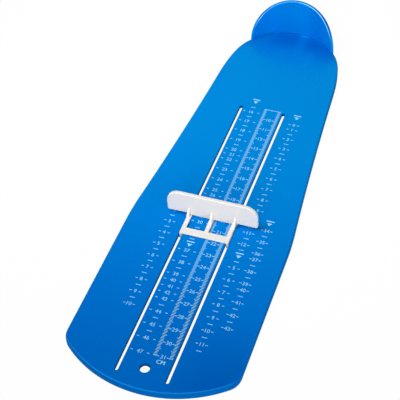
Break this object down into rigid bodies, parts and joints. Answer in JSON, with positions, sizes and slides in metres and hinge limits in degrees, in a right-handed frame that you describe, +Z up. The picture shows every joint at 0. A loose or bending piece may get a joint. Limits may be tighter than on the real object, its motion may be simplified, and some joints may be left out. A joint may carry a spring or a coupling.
{
  "type": "foot measuring device",
  "caption": "Flat tray-like foot gauge with an arched heel cup, two guide slots, a hanging hole and an upright toe stop that slides along a printed length scale.",
  "frame": {"origin": "middle of the overall length and width, on the surface that the device lies on", "axes": "+Y from toe to heel along the length, +Z up, +X across to the right, looking from toe to heel"},
  "size_m": [0.108, 0.336, 0.0354],
  "materials": {
    "base_plastic": "smooth glossy moulded blue, with the scale printed in white",
    "slider_plastic": "smooth satin-gloss moulded white"
  },
  "bodies": {
    "base": {"gauge_base": "base_plastic"},
    "slider": {"toe_slider": "slider_plastic"}
  },
  "joints": [
    {"name": "slider_travel", "type": "slide", "parent": "base", "child": "slider", "axis": [0, 1, 0], "range_m": [-0.1073, 0.108]}
  ]
}
